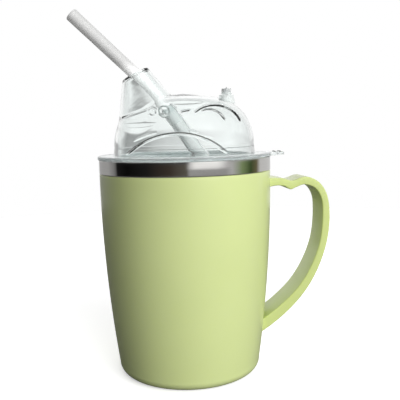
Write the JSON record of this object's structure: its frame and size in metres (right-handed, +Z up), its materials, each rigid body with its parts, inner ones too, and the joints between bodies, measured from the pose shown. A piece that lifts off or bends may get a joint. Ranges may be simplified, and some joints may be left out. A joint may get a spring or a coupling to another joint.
{
  "type": "lidded straw mug",
  "caption": "Toddler mug with a steel cup in a green plastic shell, side handle, press-in clear domed lid and a slanted soft straw",
  "frame": {"origin": "on the mug's axis, on the plane its foot ring stands on", "axes": "+Z up, +X towards the handle and the lid's pull tab, -Y to the side with the moulded outlines"},
  "size_m": [0.1284, 0.087, 0.1815],
  "materials": {
    "shell_plastic": "smooth gloss",
    "handle_plastic": "smooth gloss",
    "steel": "polished stainless steel",
    "clear_plastic": "clear, smooth",
    "tube_plastic": "translucent, smooth",
    "seal_silicone": "translucent satin",
    "straw_silicone": "milky translucent satin"
  },
  "bodies": {
    "mug": {"outer_shell": "shell_plastic", "handle": "handle_plastic", "shell_seal": "seal_silicone", "steel_cup": "steel"},
    "lid": {"lid_plate": "clear_plastic", "lid_gasket": "seal_silicone", "lid_dome": "clear_plastic", "vent_plug": "seal_silicone", "straw_stem": "straw_silicone", "tube_collar": "clear_plastic", "dip_tube": "tube_plastic"},
    "straw": {"straw_tip": "straw_silicone"}
  },
  "joints": [
    {"name": "lid_lift", "type": "slide", "parent": "mug", "child": "lid", "axis": [0, 0, 1], "range_m": [0, 0.12]},
    {"name": "straw_flex", "type": "hinge", "parent": "lid", "child": "straw", "pos_m": [-0.02544, 0, 0.15239], "axis": [0, 1, 0], "range_deg": [-30, 25], "stiffness_Nm_per_rad": 0.009}
  ]
}
